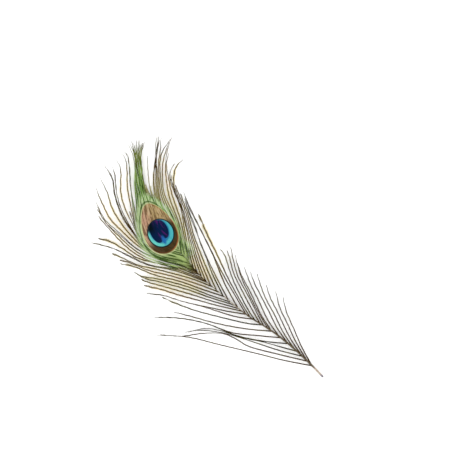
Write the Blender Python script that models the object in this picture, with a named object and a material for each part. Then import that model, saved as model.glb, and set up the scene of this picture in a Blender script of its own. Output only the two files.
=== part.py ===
"""A trimmed peacock eye feather, lying on a flat surface: one grown piece.

The feather is drawn as it lies, in millimetres: x across it, y along it from
the cut end of the quill, and z up from the surface. The shaft runs through
chosen points. Each vane is a fan of tapered locks that follow guide barbs,
and the eye is a thin dished blade that the plume's locks grow from. All of
them are joined in one closed solid, with its origin under the middle of its box.
"""
import math
import random

import bmesh
import bpy
from mathutils import Vector

MM = 0.001

# Driving dimensions, in millimetres.
QUILL_WIDTH = 2.2  # shaft width at the cut end
QUILL_DEPTH = 1.9  # shaft depth at the cut end
SHAFT_END_SCALE = 0.28  # size of the shaft's end against its cut end
SHAFT_TAPER = 1.2  # above 1, the shaft keeps its size longer
SHAFT_BOW = 2.4  # how far the shaft arches off the surface at its middle
SHAFT_END_RISE = 0.35  # how far its end, inside the eye, stays off the surface
FLAT_LENGTH = 15.0  # stretch of bare quill that lies flat on the surface
LOCK_WIDTH = 2.3
LOCK_DEPTH = 0.8
LOCK_ROOT_SCALE = 0.55
LOCK_FULL_AT = 0.2  # share of its length at which a lock is widest
LOCK_TIP_SCALE = 0.22
LOCK_TAPER = 1.6
LOCK_ARCH = 6.0  # height of the arch of a lock as long as LOCK_FULL_LENGTH
LOCK_FULL_LENGTH = 120.0
TIP_REST_HEIGHT = 0.12  # centre of a lock's tip that lies on the surface
PLUME_TIP_RISE = 11.0  # how far the highest plume tips curl up
PLUME_TIP_LEAST = 0.3  # share of that which the lowest plume tips curl up
BLADE_DEPTH = 0.9
BLADE_RIM_SCALE = 0.4  # the blade's depth at its rim against its middle
BLADE_HEIGHT = 0.8  # the eye blade's middle above the surface
BLADE_DISH = 1.6  # how far its rim stands above its middle
BLADE_OVERLAP = 4.0  # how deep a plume lock is rooted in the blade
BLADE_CENTRE = (-47.0, 213.0)
BLADE_RADIUS = 45.0
BOX_MIDDLE = (-45.4, 152.2)  # the plane's point that lies over the origin

LEFT_LOCKS = 44
RIGHT_LOCKS = 32
LOCK_RINGS = 9
SHAFT_RINGS = 26
BLADE_RINGS = 13
BLADE_STEPS = 6
ROUTE_SAMPLES = 80
SEED = 7

# The shaft's section as shares of its width and depth.
SHAFT_SECTION = (
    (-0.36, 0), (0.36, 0), (0.5, 0.32), (0.42, 0.74), (0.16, 1), (-0.16, 1), (-0.42, 0.74), (-0.5, 0.32),
)

# The shaft, from the quill's cut end to its end inside the eye.
SHAFT_ROUTE = (
    (0, 0), (-2, 14), (-5, 31), (-9, 48), (-14, 65), (-19, 78), (-24, 90), (-28.5, 104),
    (-32.5, 120), (-36.5, 135), (-40, 150), (-42, 169), (-43, 187), (-43.3, 203), (-42.3, 229),
)

# Guide barbs: how far up the shaft each one leaves it, then the points it runs through.
LEFT_GUIDES = (
    (15.5, ((-22.5, 37.5), (-40, 58.5), (-65.5, 88), (-86, 111), (-112, 132))),
    (36, ((-27, 60), (-44, 79), (-58, 96), (-71, 109), (-88, 119))),
    (47.5, ((-27, 64), (-46, 86), (-62.5, 109), (-79.5, 128), (-106, 147.5))),
    (77.5, ((-31, 89), (-51.5, 113), (-67.5, 132.5), (-86, 162))),
    (96, ((-44.5, 115), (-67.5, 141), (-80.5, 158), (-96.5, 172.5))),
    (114, ((-44, 132.5), (-59, 154.5), (-75.5, 174.5), (-94, 200.5))),
    (130, ((-47.5, 148.5), (-65, 172), (-78.5, 188), (-102, 219))),
    (145, ((-57.5, 170), (-75.5, 192), (-88, 211), (-111, 245))),
    (155.5, ((-56, 174.5), (-68.5, 189.5), (-77.5, 203), (-85, 220), (-89.5, 238), (-91, 268))),
    (162, ((-50, 175.5), (-60.5, 187), (-69, 201), (-75, 218.5), (-79, 238), (-80, 254), (-73, 288))),
    (167, ((-50.5, 180), (-61, 191.5), (-68.5, 206), (-70.5, 224), (-69, 241), (-65, 257), (-54, 305))),
    (170.5, ((-50.5, 182), (-59.5, 192), (-66, 203), (-68, 216), (-65, 229.5), (-59, 242.5), (-31, 300))),
    (186, ((-50.5, 196), (-55, 208.5), (-54.5, 222), (-49.5, 236), (-43, 250), (-17, 303.5))),
    (213.5, ((-42.5, 223), (-40.5, 232.5), (-38.5, 242.5), (-35.5, 254), (-28, 272), (-6.5, 304.5))),
)
RIGHT_GUIDES = (
    (16.5, ((0, 36), (4, 55), (8.5, 74), (14.5, 89))),
    (30.5, ((-4, 51), (-0.5, 73), (3, 93.5), (10, 113))),
    (48.5, ((-8.5, 69), (-5, 91), (-1.5, 113), (6, 134))),
    (76.5, ((-14.5, 103.5), (-12.5, 119.5), (-9, 136), (2.5, 161.5))),
    (96, ((-24.5, 110.5), (-21, 143), (-16, 169.5), (-10, 205), (-3, 237))),
    (133, ((-30, 160.5), (-23, 187.5), (-15, 211), (-8, 238))),
    (159.5, ((-33.5, 180), (-24, 202.5), (-16, 223), (-8, 246), (5, 261))),
    (170.5, ((-36.5, 183.5), (-30, 197.5), (-24, 211.5), (-19.5, 225.5), (-14, 240), (14, 266))),
    (177.5, ((-37.5, 189), (-32, 202), (-27.5, 215), (-25, 229), (-21.5, 242), (-13, 257), (22, 286))),
    (194.5, ((-39.5, 204), (-36.5, 215.5), (-34.5, 227), (-32.5, 239), (-28, 250), (-18, 266), (10, 294))),
    (203.5, ((-40.5, 213), (-38.5, 223.5), (-36.5, 234), (-34, 244), (-29.5, 256), (2, 299))),
)

# The eye blade's two edges, from the shaft below the eye to the foot of the plume.
BLADE_LEFT = (
    (-44.5, 173), (-56.5, 187.5), (-64, 199), (-66.5, 212),
    (-63.5, 228), (-57, 243), (-46.5, 256), (-35, 268),
)
BLADE_RIGHT = (
    (-43, 173), (-35.5, 187), (-29, 202), (-25.5, 217),
    (-25.5, 232), (-27, 246), (-27.5, 258), (-26.5, 268),
)


def clear_scene():
    """Remove every object of the scene."""
    for old in list(bpy.data.objects):
        bpy.data.objects.remove(old, do_unlink=True)


def smooth_route(points, count):
    """Points at even spacing on a smooth curve through the given ones."""
    knots = [Vector(point) for point in points]
    knots = [2 * knots[0] - knots[1], *knots, 2 * knots[-1] - knots[-2]]
    dense = []
    for before, start, end, after in zip(knots, knots[1:], knots[2:], knots[3:]):
        for step in range(ROUTE_SAMPLES):
            t = step / ROUTE_SAMPLES
            bend = (2 * before - 5 * start + 4 * end - after) * t * t
            twist = (3 * start - before - 3 * end + after) * t * t * t
            dense.append((2 * start + (end - before) * t + bend + twist) / 2)
    dense.append(knots[-2])
    return even_points(dense, count)


def even_points(line, count):
    """The same line with its points evenly spaced."""
    travelled = [0.0]
    for start, end in zip(line, line[1:]):
        travelled.append(travelled[-1] + (end - start).length)
    even = []
    at = 0
    for index in range(count):
        goal = travelled[-1] * index / (count - 1)
        while at < len(line) - 2 and travelled[at + 1] < goal:
            at += 1
        span = travelled[at + 1] - travelled[at]
        even.append(line[at].lerp(line[at + 1], (goal - travelled[at]) / span))
    return even


def line_length(line):
    """The length of a line of points."""
    return sum((end - start).length for start, end in zip(line, line[1:]))


def side_of(line, index):
    """The unit vector to the right of a flat line at one of its points."""
    run = line[min(index + 1, len(line) - 1)] - line[max(index - 1, 0)]
    return Vector((run.y, -run.x)).normalized()


def shaft_scale(height):
    """The shaft's size at a height along the feather, against its cut end."""
    share = height / SHAFT_ROUTE[-1][1]
    return 1 + (SHAFT_END_SCALE - 1) * share ** SHAFT_TAPER


def shaft_underside(height):
    """How far the shaft's flat underside is above the surface."""
    share = (height - FLAT_LENGTH) / (SHAFT_ROUTE[-1][1] - FLAT_LENGTH)
    if share <= 0:
        return 0.0
    return SHAFT_BOW * math.sin(math.pi * min(share, 1)) ** 2 + SHAFT_END_RISE * share


def shaft_core(height):
    """The height of the shaft's middle above the surface."""
    return shaft_underside(height) + QUILL_DEPTH * shaft_scale(height) / 2


def blade_height(point):
    """The height of the eye blade's middle layer above the surface."""
    away = (point - Vector(BLADE_CENTRE)).length / BLADE_RADIUS
    return BLADE_HEIGHT + BLADE_DISH * away * away


def add_loft(mesh, rings):
    """Skin a closed body over rings of equal point counts, with filled ends."""
    loops = [[mesh.verts.new(point) for point in ring] for ring in rings]
    for near, far in zip(loops, loops[1:]):
        for index in range(len(near)):
            following = (index + 1) % len(near)
            mesh.faces.new((near[index], near[following], far[following], far[index]))
    mesh.faces.new(reversed(loops[0]))
    mesh.faces.new(loops[-1])


def shaft_rings():
    """Squarish sections of the shaft, flat below and rounded above."""
    route = smooth_route(SHAFT_ROUTE, SHAFT_RINGS)
    rings = []
    for index, point in enumerate(route):
        side = side_of(route, index)
        scale = shaft_scale(point.y)
        ring = []
        for across, up in SHAFT_SECTION:
            place = point + side * across * QUILL_WIDTH * scale
            ring.append(Vector((*place, shaft_underside(point.y) + up * QUILL_DEPTH * scale)))
        rings.append(ring)
    return rings


def blade_rings():
    """Lens-shaped sections across the eye, from its foot to the plume."""
    left = smooth_route(BLADE_LEFT, BLADE_RINGS)
    right = smooth_route(BLADE_RIGHT, BLADE_RINGS)
    rings = []
    for low, high in zip(left, right):
        top, bottom = [], []
        for step in range(BLADE_STEPS + 1):
            across = step / BLADE_STEPS
            place = low.lerp(high, across)
            fullness = BLADE_RIM_SCALE + (1 - BLADE_RIM_SCALE) * math.sin(math.pi * across)
            half = BLADE_DEPTH / 2 * fullness
            middle = blade_height(place)
            top.append(Vector((*place, middle + half)))
            bottom.append(Vector((*place, middle - half)))
        rings.append(top + bottom[::-1])
    return rings


def blade_outline():
    """The closed outline of the eye blade in the plane."""
    return smooth_route(BLADE_LEFT, BLADE_RINGS) + smooth_route(BLADE_RIGHT, BLADE_RINGS)[::-1]


def is_inside(outline, point):
    """Whether a point of the plane lies within a closed outline."""
    inside = False
    for start, end in zip(outline, outline[1:] + outline[:1]):
        if (start.y > point.y) != (end.y > point.y):
            crossing = start.x + (point.y - start.y) * (end.x - start.x) / (end.y - start.y)
            inside ^= point.x < crossing
    return inside


def guide_routes(guides, shaft):
    """Every guide barb as an evenly sampled line that starts on the shaft."""
    routes = []
    for height, points in guides:
        root = min(shaft, key=lambda place: abs(place.y - height))
        routes.append(smooth_route((tuple(root), *points), ROUTE_SAMPLES))
    return routes


def lock_routes(guides, shaft, count):
    """Lines of the locks of one vane, spread between its guide barbs."""
    routes = guide_routes(guides, shaft)
    for index in range(count):
        at = index * (len(routes) - 1) / (count - 1)
        first = min(int(at), len(routes) - 2)
        yield [low.lerp(high, at - first) for low, high in zip(routes[first], routes[first + 1])]


def free_stretch(route, outline):
    """The part of a lock's line outside the eye blade, and whether it grows from the blade."""
    covered = [index for index, point in enumerate(route) if is_inside(outline, point)]
    if not covered:
        return route, False
    spacing = line_length(route) / (len(route) - 1)
    first = max(covered[-1] - round(BLADE_OVERLAP / spacing), 0)
    return route[first:], True


def lock_rings(route, on_blade, tip_height):
    """Diamond sections of one lock, arched between its root and its tip."""
    line = even_points(route, LOCK_RINGS)
    root_height = blade_height(line[0]) if on_blade else shaft_core(line[0].y)
    arch = LOCK_ARCH * line_length(line) / LOCK_FULL_LENGTH
    rings = []
    for index, point in enumerate(line):
        share = index / (LOCK_RINGS - 1)
        widening = LOCK_ROOT_SCALE + (1 - LOCK_ROOT_SCALE) * min(share / LOCK_FULL_AT, 1)
        scale = widening * (1 + (LOCK_TIP_SCALE - 1) * share ** LOCK_TAPER)
        height = root_height + (tip_height - root_height) * share ** 2 + arch * math.sin(math.pi * share)
        side = Vector((*side_of(line, index), 0)) * LOCK_WIDTH * scale / 2
        rise = Vector((0, 0, LOCK_DEPTH * scale / 2))
        middle = Vector((*point, height))
        rings.append([middle - side, middle + rise, middle + side, middle - rise])
    return rings


def vane_body(shaft):
    """One mesh of the eye blade and every lock, as bodies still to be joined."""
    chance = random.Random(SEED)
    outline = blade_outline()
    mesh = bmesh.new()
    add_loft(mesh, blade_rings())
    for guides, count in ((LEFT_GUIDES, LEFT_LOCKS), (RIGHT_GUIDES, RIGHT_LOCKS)):
        for route in lock_routes(guides, shaft, count):
            line, on_blade = free_stretch(route, outline)
            lift = chance.uniform(PLUME_TIP_LEAST, 1) * PLUME_TIP_RISE if on_blade else 0
            add_loft(mesh, lock_rings(line, on_blade, TIP_REST_HEIGHT + lift))
    return mesh


def make_object(name, mesh, material):
    """Turn a bmesh in millimetres into an object in metres, over the origin."""
    bmesh.ops.recalc_face_normals(mesh, faces=mesh.faces)
    data = bpy.data.meshes.new(name)
    for vertex in mesh.verts:
        vertex.co -= Vector((*BOX_MIDDLE, 0))
        vertex.co *= MM
    mesh.to_mesh(data)
    mesh.free()
    data.materials.append(material)
    made = bpy.data.objects.new(name, data)
    bpy.context.scene.collection.objects.link(made)
    return made


def feather_material():
    """The matt olive brown that the vanes have between their markings."""
    material = bpy.data.materials.new("feather")
    material.use_nodes = True
    surface = material.node_tree.nodes["Principled BSDF"]
    surface.inputs["Base Color"].default_value = (0.24, 0.21, 0.11, 1)
    surface.inputs["Roughness"].default_value = 0.55
    surface.inputs["Metallic"].default_value = 0.0
    return material


def main():
    """Build the feather: its shaft, joined with the vanes and the eye."""
    clear_scene()
    material = feather_material()
    shaft_mesh = bmesh.new()
    add_loft(shaft_mesh, shaft_rings())
    feather = make_object("feather", shaft_mesh, material)
    shaft = smooth_route(SHAFT_ROUTE, 4 * ROUTE_SAMPLES)
    vanes = make_object("vane_locks", vane_body(shaft), material)
    vanes.hide_render = True
    vanes.display_type = "WIRE"
    join = feather.modifiers.new("join_vanes", "BOOLEAN")
    join.operation = "UNION"
    join.solver = "EXACT"
    join.use_self = True
    join.object = vanes


main()
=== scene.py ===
"""A peacock eye feather lying on a pale studio surface.

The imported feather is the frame. Its one node is replaced by a grooved shaft,
two vanes of single barbs with their barbules, and the close-knit web of the
eye. Sizes are in millimetres on the plane that the feather lies in: x across
it, y along it from the quill's cut end, and z up from the surface.
"""
import logging
import math
from dataclasses import dataclass, field
from enum import Enum

import bpy
import numpy as np
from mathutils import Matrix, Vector


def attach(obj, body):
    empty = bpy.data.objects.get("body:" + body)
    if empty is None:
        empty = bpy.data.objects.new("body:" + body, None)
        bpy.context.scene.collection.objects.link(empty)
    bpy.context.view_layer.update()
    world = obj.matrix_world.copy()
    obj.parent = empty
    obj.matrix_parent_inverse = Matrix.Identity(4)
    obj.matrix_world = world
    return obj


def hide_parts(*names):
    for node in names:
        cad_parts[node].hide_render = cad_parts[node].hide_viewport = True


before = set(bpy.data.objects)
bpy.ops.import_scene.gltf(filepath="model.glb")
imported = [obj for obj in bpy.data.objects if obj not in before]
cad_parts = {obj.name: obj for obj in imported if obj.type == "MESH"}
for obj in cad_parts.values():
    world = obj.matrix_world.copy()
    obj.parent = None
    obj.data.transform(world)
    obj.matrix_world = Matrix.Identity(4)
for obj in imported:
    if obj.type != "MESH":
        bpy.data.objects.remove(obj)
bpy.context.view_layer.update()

LOG = logging.getLogger("feather")
BODY = "root"
NODE = "feather"
BAKE_MAP = "OFBake"
MM = 0.001
BOX_MIDDLE = np.array((-45.4, 152.2))  # the plane's point that lies over the origin
SEED = 29
CURVE_POINTS = 24  # points worked out between two of a curve's given ones
GUIDE_POINTS = 72  # points that every guide is read at
ROUTE_POINTS = 900  # points that the shaft's route is read at
RELIEF_DEPTH = 0.0002  # how deep the finishes' fine relief is, in metres
NOISE_MIDDLE = 0.5
TINY = 0.001  # keeps a share from being divided by nought
UP = np.array((0.0, 0.0, 1.0))

# The shaft, from the quill's cut end to its end inside the eye.
SHAFT_ROUTE = (
    (0, 0), (-2, 14), (-5, 31), (-9, 48), (-14, 65), (-19, 78), (-24, 90), (-28.5, 104),
    (-32.5, 120), (-36.5, 135), (-40, 150), (-42, 169), (-43, 187), (-43.3, 203), (-42.3, 229),
)

# Guide barbs: how far up the shaft each one leaves it, the barbs between it and the next, its points.
# The middle one carries the shaft on into the plume, where both vanes end.
MIDDLE_GUIDE = (228, 0, ((-40.5, 237.5), (-38, 247.5), (-34.7, 258.5), (-27, 272.5), (-18.4, 286.1),
                         (-4.4, 297)))
LEFT_GUIDES = (
    (15.5, 0, ((-22.5, 37.5), (-40, 58.5), (-65.5, 88), (-86, 111), (-112, 132))),
    (22, 1, ((-22.5, 44.5), (-41.5, 67.5), (-48.5, 82.5), (-56.5, 94.5), (-73.5, 106.5), (-91.5, 116.5),
             (-110, 131.5))),
    (36, 0, ((-27, 62), (-44, 81), (-58, 98.5), (-71, 110), (-86.5, 116.5))),
    (47.5, 1, ((-27, 64), (-46, 86), (-62.5, 111), (-79.5, 129), (-97.5, 143), (-106.5, 147.5))),
    (67, 0, ((-34.5, 84.5), (-56, 107.5), (-72, 126), (-89, 145.5))),
    (78, 1, ((-31, 89), (-51.5, 113), (-67.5, 132.5), (-81.5, 152.5), (-86, 162))),
    (96, 1, ((-44.5, 115), (-67.5, 141), (-80.5, 158), (-88, 165), (-96.5, 172.5))),
    (105, 1, ((-47, 128.5), (-59.5, 145.5), (-69, 157.5), (-86, 177.5), (-93.5, 189))),
    (114.5, 0, ((-44, 132.5), (-59, 154.5), (-75.5, 174.5), (-88.5, 187.5), (-94, 200.5))),
    (123, 0, ((-46.5, 141.5), (-60.5, 161.5), (-77, 181), (-89.5, 199.5), (-102, 212))),
    (130, 0, ((-47.5, 148.5), (-65, 172), (-78.5, 187.5), (-91.5, 207), (-102, 219))),
    (138, 0, ((-50.5, 158), (-70, 182), (-83.5, 197.5), (-94, 214), (-103, 227.5))),
    (144.5, 1, ((-57.5, 172), (-75.5, 191.5), (-86.5, 210.5), (-96, 227), (-111, 245))),
    (150, 0, ((-55, 175.5), (-68.5, 189.5), (-81, 205), (-87.5, 220.5), (-94.5, 234), (-104.5, 245))),
    (155.5, 1, ((-56, 174.5), (-68.5, 189.5), (-76.5, 201.5), (-82.5, 216), (-86, 232.5), (-87.5, 248.5),
                (-88, 260.5), (-87.5, 269.5))),
    (158.5, 1, ((-51.5, 174), (-62.5, 187.5), (-72, 202), (-78, 217), (-82, 236), (-85.5, 252.5),
                (-83.5, 268), (-82, 276.5))),
    (162, 1, ((-50, 175.5), (-60.5, 187), (-69, 201), (-75, 218.5), (-78.5, 238), (-80, 251.5),
              (-78, 265), (-75, 280.5), (-72, 289))),
    (165, 3, ((-50.5, 178.5), (-61.5, 190.5), (-69.5, 207), (-70.5, 227.5), (-70, 244.5), (-66.5, 258.5),
              (-61.5, 272), (-56, 281.5), (-54.5, 291.5), (-54, 305))),
    (167, 0, ((-50.5, 180), (-61, 191.5), (-68.3, 206), (-69.4, 224), (-68, 241), (-65.2, 256.5),
              (-60, 269.5), (-54, 280.5), (-50.5, 288), (-48.5, 300))),
    (169, 3, ((-51, 181.5), (-59.5, 191.5), (-66.5, 204), (-68.5, 218.5), (-65.5, 235), (-62.5, 251),
              (-57, 266.5), (-44, 285), (-41.5, 297))),
    (170.5, 4, ((-50.5, 182), (-59.5, 192), (-66, 203), (-68, 216), (-65, 229.5), (-59, 242.5),
                (-52, 255), (-44.5, 268), (-36.5, 280.5), (-30.5, 293.5), (-32.5, 301))),
    (177.5, 4, ((-51, 188), (-58.5, 198), (-62.5, 211.5), (-60.5, 225.5), (-54.5, 239.5), (-47, 252.5),
                (-40, 266), (-30.2, 278.6), (-23.8, 290), (-20.7, 302.6))),
    (186, 3, ((-50.5, 196), (-55, 208.5), (-54.5, 222), (-49.5, 236), (-43, 250), (-36.5, 265),
              (-27, 282.5), (-22.7, 289.2), (-16.6, 303.3))),
    (194.5, 2, ((-48.5, 203.5), (-50.5, 215.5), (-47.5, 228.5), (-43.5, 240), (-39, 253), (-32.5, 268),
                (-21.5, 288.4), (-12.5, 302.8))),
    (203.5, 2, ((-46, 213), (-45, 224), (-41.5, 234.5), (-39, 245.5), (-35, 258.5), (-28, 274.5),
                (-20.4, 287.6), (-8.7, 301.3))),
    (213.5, 3, ((-42.5, 223), (-40.5, 232.5), (-38.5, 242.5), (-35.5, 254), (-29.5, 268), (-19.3, 286.8),
                (-8.8, 295.2))),
    MIDDLE_GUIDE,
)
RIGHT_GUIDES = (
    (16.5, 1, ((0, 36), (4, 55), (8.5, 74), (14.5, 89))),
    (30.5, 1, ((-4, 51), (-0.5, 73), (3, 93.5), (9.5, 112.5))),
    (48.5, 1, ((-8.5, 69), (-5, 91), (-1.5, 113), (4, 132.5))),
    (68, 1, ((-14, 88.5), (-10, 109.5), (-7, 128), (-3, 143.5))),
    (76.5, 1, ((-14.5, 103.5), (-12.5, 119.5), (-10, 134), (-4, 149), (2.5, 161.5))),
    (85.5, 1, ((-21.5, 100), (-17.5, 126), (-14, 139.5), (-9.5, 154.5), (-9.5, 162.5), (-11.5, 167))),
    (96, 1, ((-24.5, 110.5), (-21, 143), (-16.5, 169.5), (-13.5, 189), (-10.5, 209), (-8, 222), (-3, 237))),
    (118, 1, ((-27.5, 149), (-21.5, 176.5), (-15.5, 201.5), (-11, 218), (-7.5, 230.5))),
    (133, 1, ((-30, 160.5), (-23, 187.5), (-15, 211), (-10.5, 227.5), (-8, 238))),
    (146.5, 1, ((-33, 170), (-25, 193.5), (-17, 215), (-12.5, 231.5), (-9, 245), (-6.5, 257))),
    (159.5, 0, ((-33.5, 180), (-23.5, 202.5), (-16, 223), (-12.5, 238.5), (-9, 250), (-2, 257.5),
                (4.5, 259.5))),
    (165, 0, ((-34.5, 183), (-26, 201.5), (-16.5, 222), (-10.5, 240), (1, 254.5), (14, 258))),
    (170.5, 1, ((-36.5, 183.5), (-30, 197.5), (-24, 211.5), (-19.5, 225.5), (-15.5, 238.5), (-9.5, 251.5),
                (-3, 264), (7, 273))),
    (177.5, 2, ((-37.5, 189), (-32, 202), (-27.5, 215), (-25, 229), (-22, 242), (-14, 256), (-2, 270.5),
                (22, 286))),
    (186, 3, ((-38.5, 196), (-34.5, 208), (-32, 221), (-30.5, 233), (-26, 245), (-18, 257.8),
              (-7.3, 275.1), (10.5, 293))),
    (194.5, 2, ((-39.5, 204), (-36.5, 215.5), (-34.5, 227), (-33.5, 238.5), (-29.5, 248.6),
                (-22, 260.2), (-6.8, 277.6), (5.8, 293.4))),
    (203.5, 5, ((-40.5, 213), (-38.5, 223.5), (-36.5, 234), (-34.5, 243.5), (-30.5, 254.5),
                (-23.5, 266.5), (-12, 285.5))),
    MIDDLE_GUIDE,
)


class Side(Enum):
    """The side of the shaft that a vane grows on, as it is seen from above with the tip up."""

    LEFT = -1
    RIGHT = 1


class Growth(Enum):
    """How the barbs between two guides grow."""

    EVEN = "fanned out evenly"
    JOINED = "fanned out, and drawn to the nearer guide by half its length"
    BUNCHED = "fanned out round the eye, and drawn to the nearer guide past it"
    LOCKED = "fanned out, and drawn to the nearer guide at the tip"
    BRIEF = "fanned out evenly, and many of them end not far past the eye"

    def pull(self, share: np.ndarray) -> np.ndarray:
        """How far a barb is drawn to its nearer guide along its length, from 0 to 1."""
        spans = {Growth.JOINED: (0.15, 0.5), Growth.BUNCHED: (0.5, 0.75), Growth.LOCKED: (0.8, 0.97)}
        return ease(share, *spans[self]) if self in spans else np.zeros_like(share)


LEFT_GROWTH = {
    **dict.fromkeys((1, 3, 5, 12, 15), Growth.JOINED),
    17: Growth.LOCKED, 19: Growth.BRIEF, 20: Growth.BUNCHED,
}
RIGHT_GROWTH = {
    **dict.fromkeys((6, 7), Growth.JOINED),
    **dict.fromkeys((12, 13), Growth.LOCKED),
    **dict.fromkeys((15, 16), Growth.BRIEF),
}


@dataclass(frozen=True)
class Paint:
    """A colour as it shows on a screen, in steps of 255."""

    red: int
    green: int
    blue: int

    def light(self) -> tuple[float, float, float, float]:
        """Turn it into the shader's light values, by the curve that screens use.

        Returns:
            Red, green, blue and a one.
        """
        parts = [step / 255 for step in (self.red, self.green, self.blue)]
        linear = [p / 12.92 if p <= 0.04045 else ((p + 0.055) / 1.055) ** 2.4 for p in parts]
        return (*linear, 1.0)


KHAKI = Paint(120, 108, 42)
UMBER = Paint(58, 42, 16)
LEAF = Paint(120, 156, 82)
MOSS = Paint(56, 84, 30)
LIME = Paint(168, 190, 116)
FERN = Paint(64, 82, 36)
PALE = Paint(218, 222, 162)
NAVY = Paint(6, 34, 74)


class Signal:
    """A shader socket that numbers are worked out on, as in 1 - mask * 0.5."""

    def __init__(self, graph: "Graph", socket: bpy.types.NodeSocket) -> None:
        """Wrap an output socket of a graph."""
        self.graph = graph
        self.socket = socket

    def _math(self, operation: str, first: "Value", second: "Value" = 0.0) -> "Signal":
        """The result of one Math node, whose second value only some operations read."""
        return self.graph.signal("ShaderNodeMath", {"operation": operation}, {0: first, 1: second})

    def __add__(self, other: "Value") -> "Signal":
        """This plus another value."""
        return self._math("ADD", self, other)

    def __sub__(self, other: "Value") -> "Signal":
        """This less another value."""
        return self._math("SUBTRACT", self, other)

    def __rsub__(self, other: float) -> "Signal":
        """A number less this."""
        return self._math("SUBTRACT", other, self)

    def __mul__(self, other: "Value") -> "Signal":
        """This times another value."""
        return self._math("MULTIPLY", self, other)

    def __truediv__(self, other: "Value") -> "Signal":
        """This over another value."""
        return self._math("DIVIDE", self, other)

    def __pow__(self, other: float) -> "Signal":
        """This to a power; a square also takes values below nought."""
        return self * self if other == 2 else self._math("POWER", self, other)

    def __abs__(self) -> "Signal":
        """This without its sign."""
        return self._math("ABSOLUTE", self)

    __radd__ = __add__
    __rmul__ = __mul__

    def rise(self, low: float, high: float) -> "Signal":
        """A smooth rise from 0 to 1.

        Args:
            low: The value where it starts.
            high: The value where it ends; if this is the lower one, it is a fall from 1 to 0.

        Returns:
            The rise, which stays at 0 and at 1 beyond its ends.
        """
        settings = {"interpolation_type": "SMOOTHSTEP", "clamp": True}
        sockets = {"Value": self, "From Min": low, "From Max": high}
        return self.graph.signal("ShaderNodeMapRange", settings, sockets)

    def fall(self, low: float, high: float) -> "Signal":
        """A smooth fall from 1 to 0 between two values."""
        return self.rise(high, low)

    def fade(self, *ends: float) -> "Signal":
        """A rise between two values, and a fall between two more if they are given."""
        return self.rise(*ends) if len(ends) == 2 else self.rise(*ends[:2]) * self.fall(*ends[2:])


Value = Signal | float
Colour = Signal | Paint
Span = tuple[float, float]
Band = tuple[float, float, float, float]


class Graph:
    """The node tree of one material, with one method that adds every node."""

    def __init__(self, name: str) -> None:
        """Start an empty material.

        Args:
            name: The material's name.
        """
        self.material = bpy.data.materials.new(name)
        self.material.use_nodes = True
        self.tree = self.material.node_tree
        self.tree.nodes.clear()

    def node(self, kind: str, settings: dict | None = None, sockets: dict | None = None) -> bpy.types.Node:
        """Add a node.

        Args:
            kind: The node's type.
            settings: Its own settings, which are set first.
            sockets: The value or link of each input, by name or number.

        Returns:
            The new node.
        """
        made = self.tree.nodes.new(kind)
        for key, setting in (settings or {}).items():
            setattr(made, key, setting)
        for key, value in (sockets or {}).items():
            if isinstance(value, Signal):
                self.tree.links.new(value.socket, made.inputs[key])
            elif isinstance(value, bpy.types.NodeSocket):
                self.tree.links.new(value, made.inputs[key])
            else:
                made.inputs[key].default_value = value.light() if isinstance(value, Paint) else value
        return made

    def signal(self, kind: str, settings: dict | None = None, sockets: dict | None = None,
               output: int | str = 0) -> Signal:
        """Add a node as above, and wrap the output of the given name or number."""
        return Signal(self, self.node(kind, settings, sockets).outputs[output])

    def blend(self, mask: Value, low: Colour, high: Colour) -> Signal:
        """Two colours mixed, through the Mix node's colour sockets; at 1 the mask shows the second."""
        return self.signal("ShaderNodeMix", {"data_type": "RGBA"}, {0: mask, 6: low, 7: high}, 2)

    def shade(self, colour: Signal, strength: Value) -> Signal:
        """A colour made lighter or darker by a factor."""
        sockets = {"Vector": colour, "Scale": strength}
        return self.signal("ShaderNodeVectorMath", {"operation": "SCALE"}, sockets)

    def attribute(self, name: str) -> Signal:
        """A number that the mesh carries at each point."""
        settings = {"attribute_type": "GEOMETRY", "attribute_name": name}
        return self.signal("ShaderNodeAttribute", settings, None, "Fac")

    def place(self) -> tuple[Signal, Signal, Signal]:
        """Find the surface's place.

        Returns:
            Its x, y and z in millimetres on the feather's plane.
        """
        metres = self.node("ShaderNodeTexCoord").outputs["Object"]
        parts = self.node("ShaderNodeSeparateXYZ", None, {"Vector": metres})
        x, y, z = (Signal(self, socket) for socket in parts.outputs)
        return x / MM + float(BOX_MIDDLE[0]), y / MM + float(BOX_MIDDLE[1]), z / MM

    def noise(self, at: tuple[Value, Value, Value], detail: float = 1.0) -> Signal:
        """Soft noise, most of it between 0.3 and 0.7, in lumps about 1 across and finer layers."""
        vector = self.node("ShaderNodeCombineXYZ", None, dict(enumerate(at))).outputs[0]
        return self.signal("ShaderNodeTexNoise", None, {"Vector": vector, "Scale": 1.0, "Detail": detail})

    def surface(self, sockets: dict, relief: Signal | None = None,
                strength: float = 0.0) -> bpy.types.Material:
        """End the tree in a surface.

        Args:
            sockets: The shader's colour, roughness and so on.
            relief: The height of its fine relief.
            strength: How strongly that shows.

        Returns:
            The finished material.
        """
        if relief is not None:
            settings = {"Strength": strength, "Distance": RELIEF_DEPTH, "Height": relief}
            sockets = {**sockets, "Normal": self.node("ShaderNodeBump", None, settings).outputs[0]}
        shader = self.node("ShaderNodeBsdfPrincipled", None, sockets)
        self.node("ShaderNodeOutputMaterial", None, {"Surface": shader.outputs[0]})
        return self.material


@dataclass(frozen=True)
class Coat:
    """A paint that comes in softly as some cue rises."""

    paint: Paint
    span: Span  # the cue's values where it starts to show and where it is full
    strength: float = 1.0  # how much it hides of what lies below it

    def over(self, below: Colour, cue: Signal) -> Signal:
        """The colour below with this coat on it."""
        return cue.graph.blend(cue.rise(*self.span) * self.strength, below, self.paint)


def line_lengths(line: np.ndarray) -> np.ndarray:
    """How far along a line each of its points is."""
    steps = np.linalg.norm(np.diff(line, axis=0), axis=1)
    return np.concatenate(([0.0], np.cumsum(steps)))


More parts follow.
